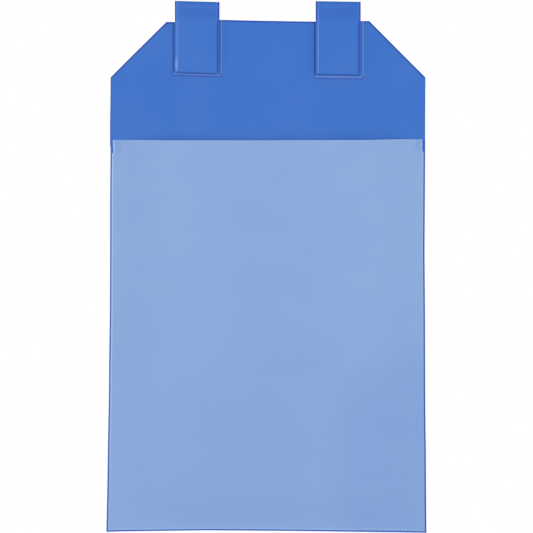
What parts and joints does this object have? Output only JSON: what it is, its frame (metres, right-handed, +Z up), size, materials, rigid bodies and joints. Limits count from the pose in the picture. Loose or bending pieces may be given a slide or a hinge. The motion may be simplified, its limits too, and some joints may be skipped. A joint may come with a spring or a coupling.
{
  "type": "magnetic document pocket",
  "caption": "Hanging A4 document pocket: blue back sheet with cut corners, pale front film open at the top, film tabs that fold over a rail and close with magnet plates.",
  "frame": {"origin": "the hanging line: the inside of the two tabs' folds, midway between the tabs, where a rail or wire carries the pocket", "axes": "+Z up along the hanging sheet, +X to the right seen from the front, the pocket's front faces -Y and its back +Y"},
  "size_m": [0.247, 0.0084, 0.4156],
  "materials": {
    "blue_sheet": "smooth soft PVC sheet, satin",
    "pale_film": "matte translucent PVC film",
    "blue_strip": "smooth soft PVC film, satin",
    "magnet_rubber": "rubber bonded magnet plate, dull"
  },
  "bodies": {
    "root": {"back_panel": "blue_sheet", "front_panel": "pale_film", "left_tab": "blue_strip", "right_tab": "blue_strip", "left_header_magnet": "magnet_rubber", "right_header_magnet": "magnet_rubber", "left_flap_magnet": "magnet_rubber", "right_flap_magnet": "magnet_rubber"}
  },
  "joints": []
}
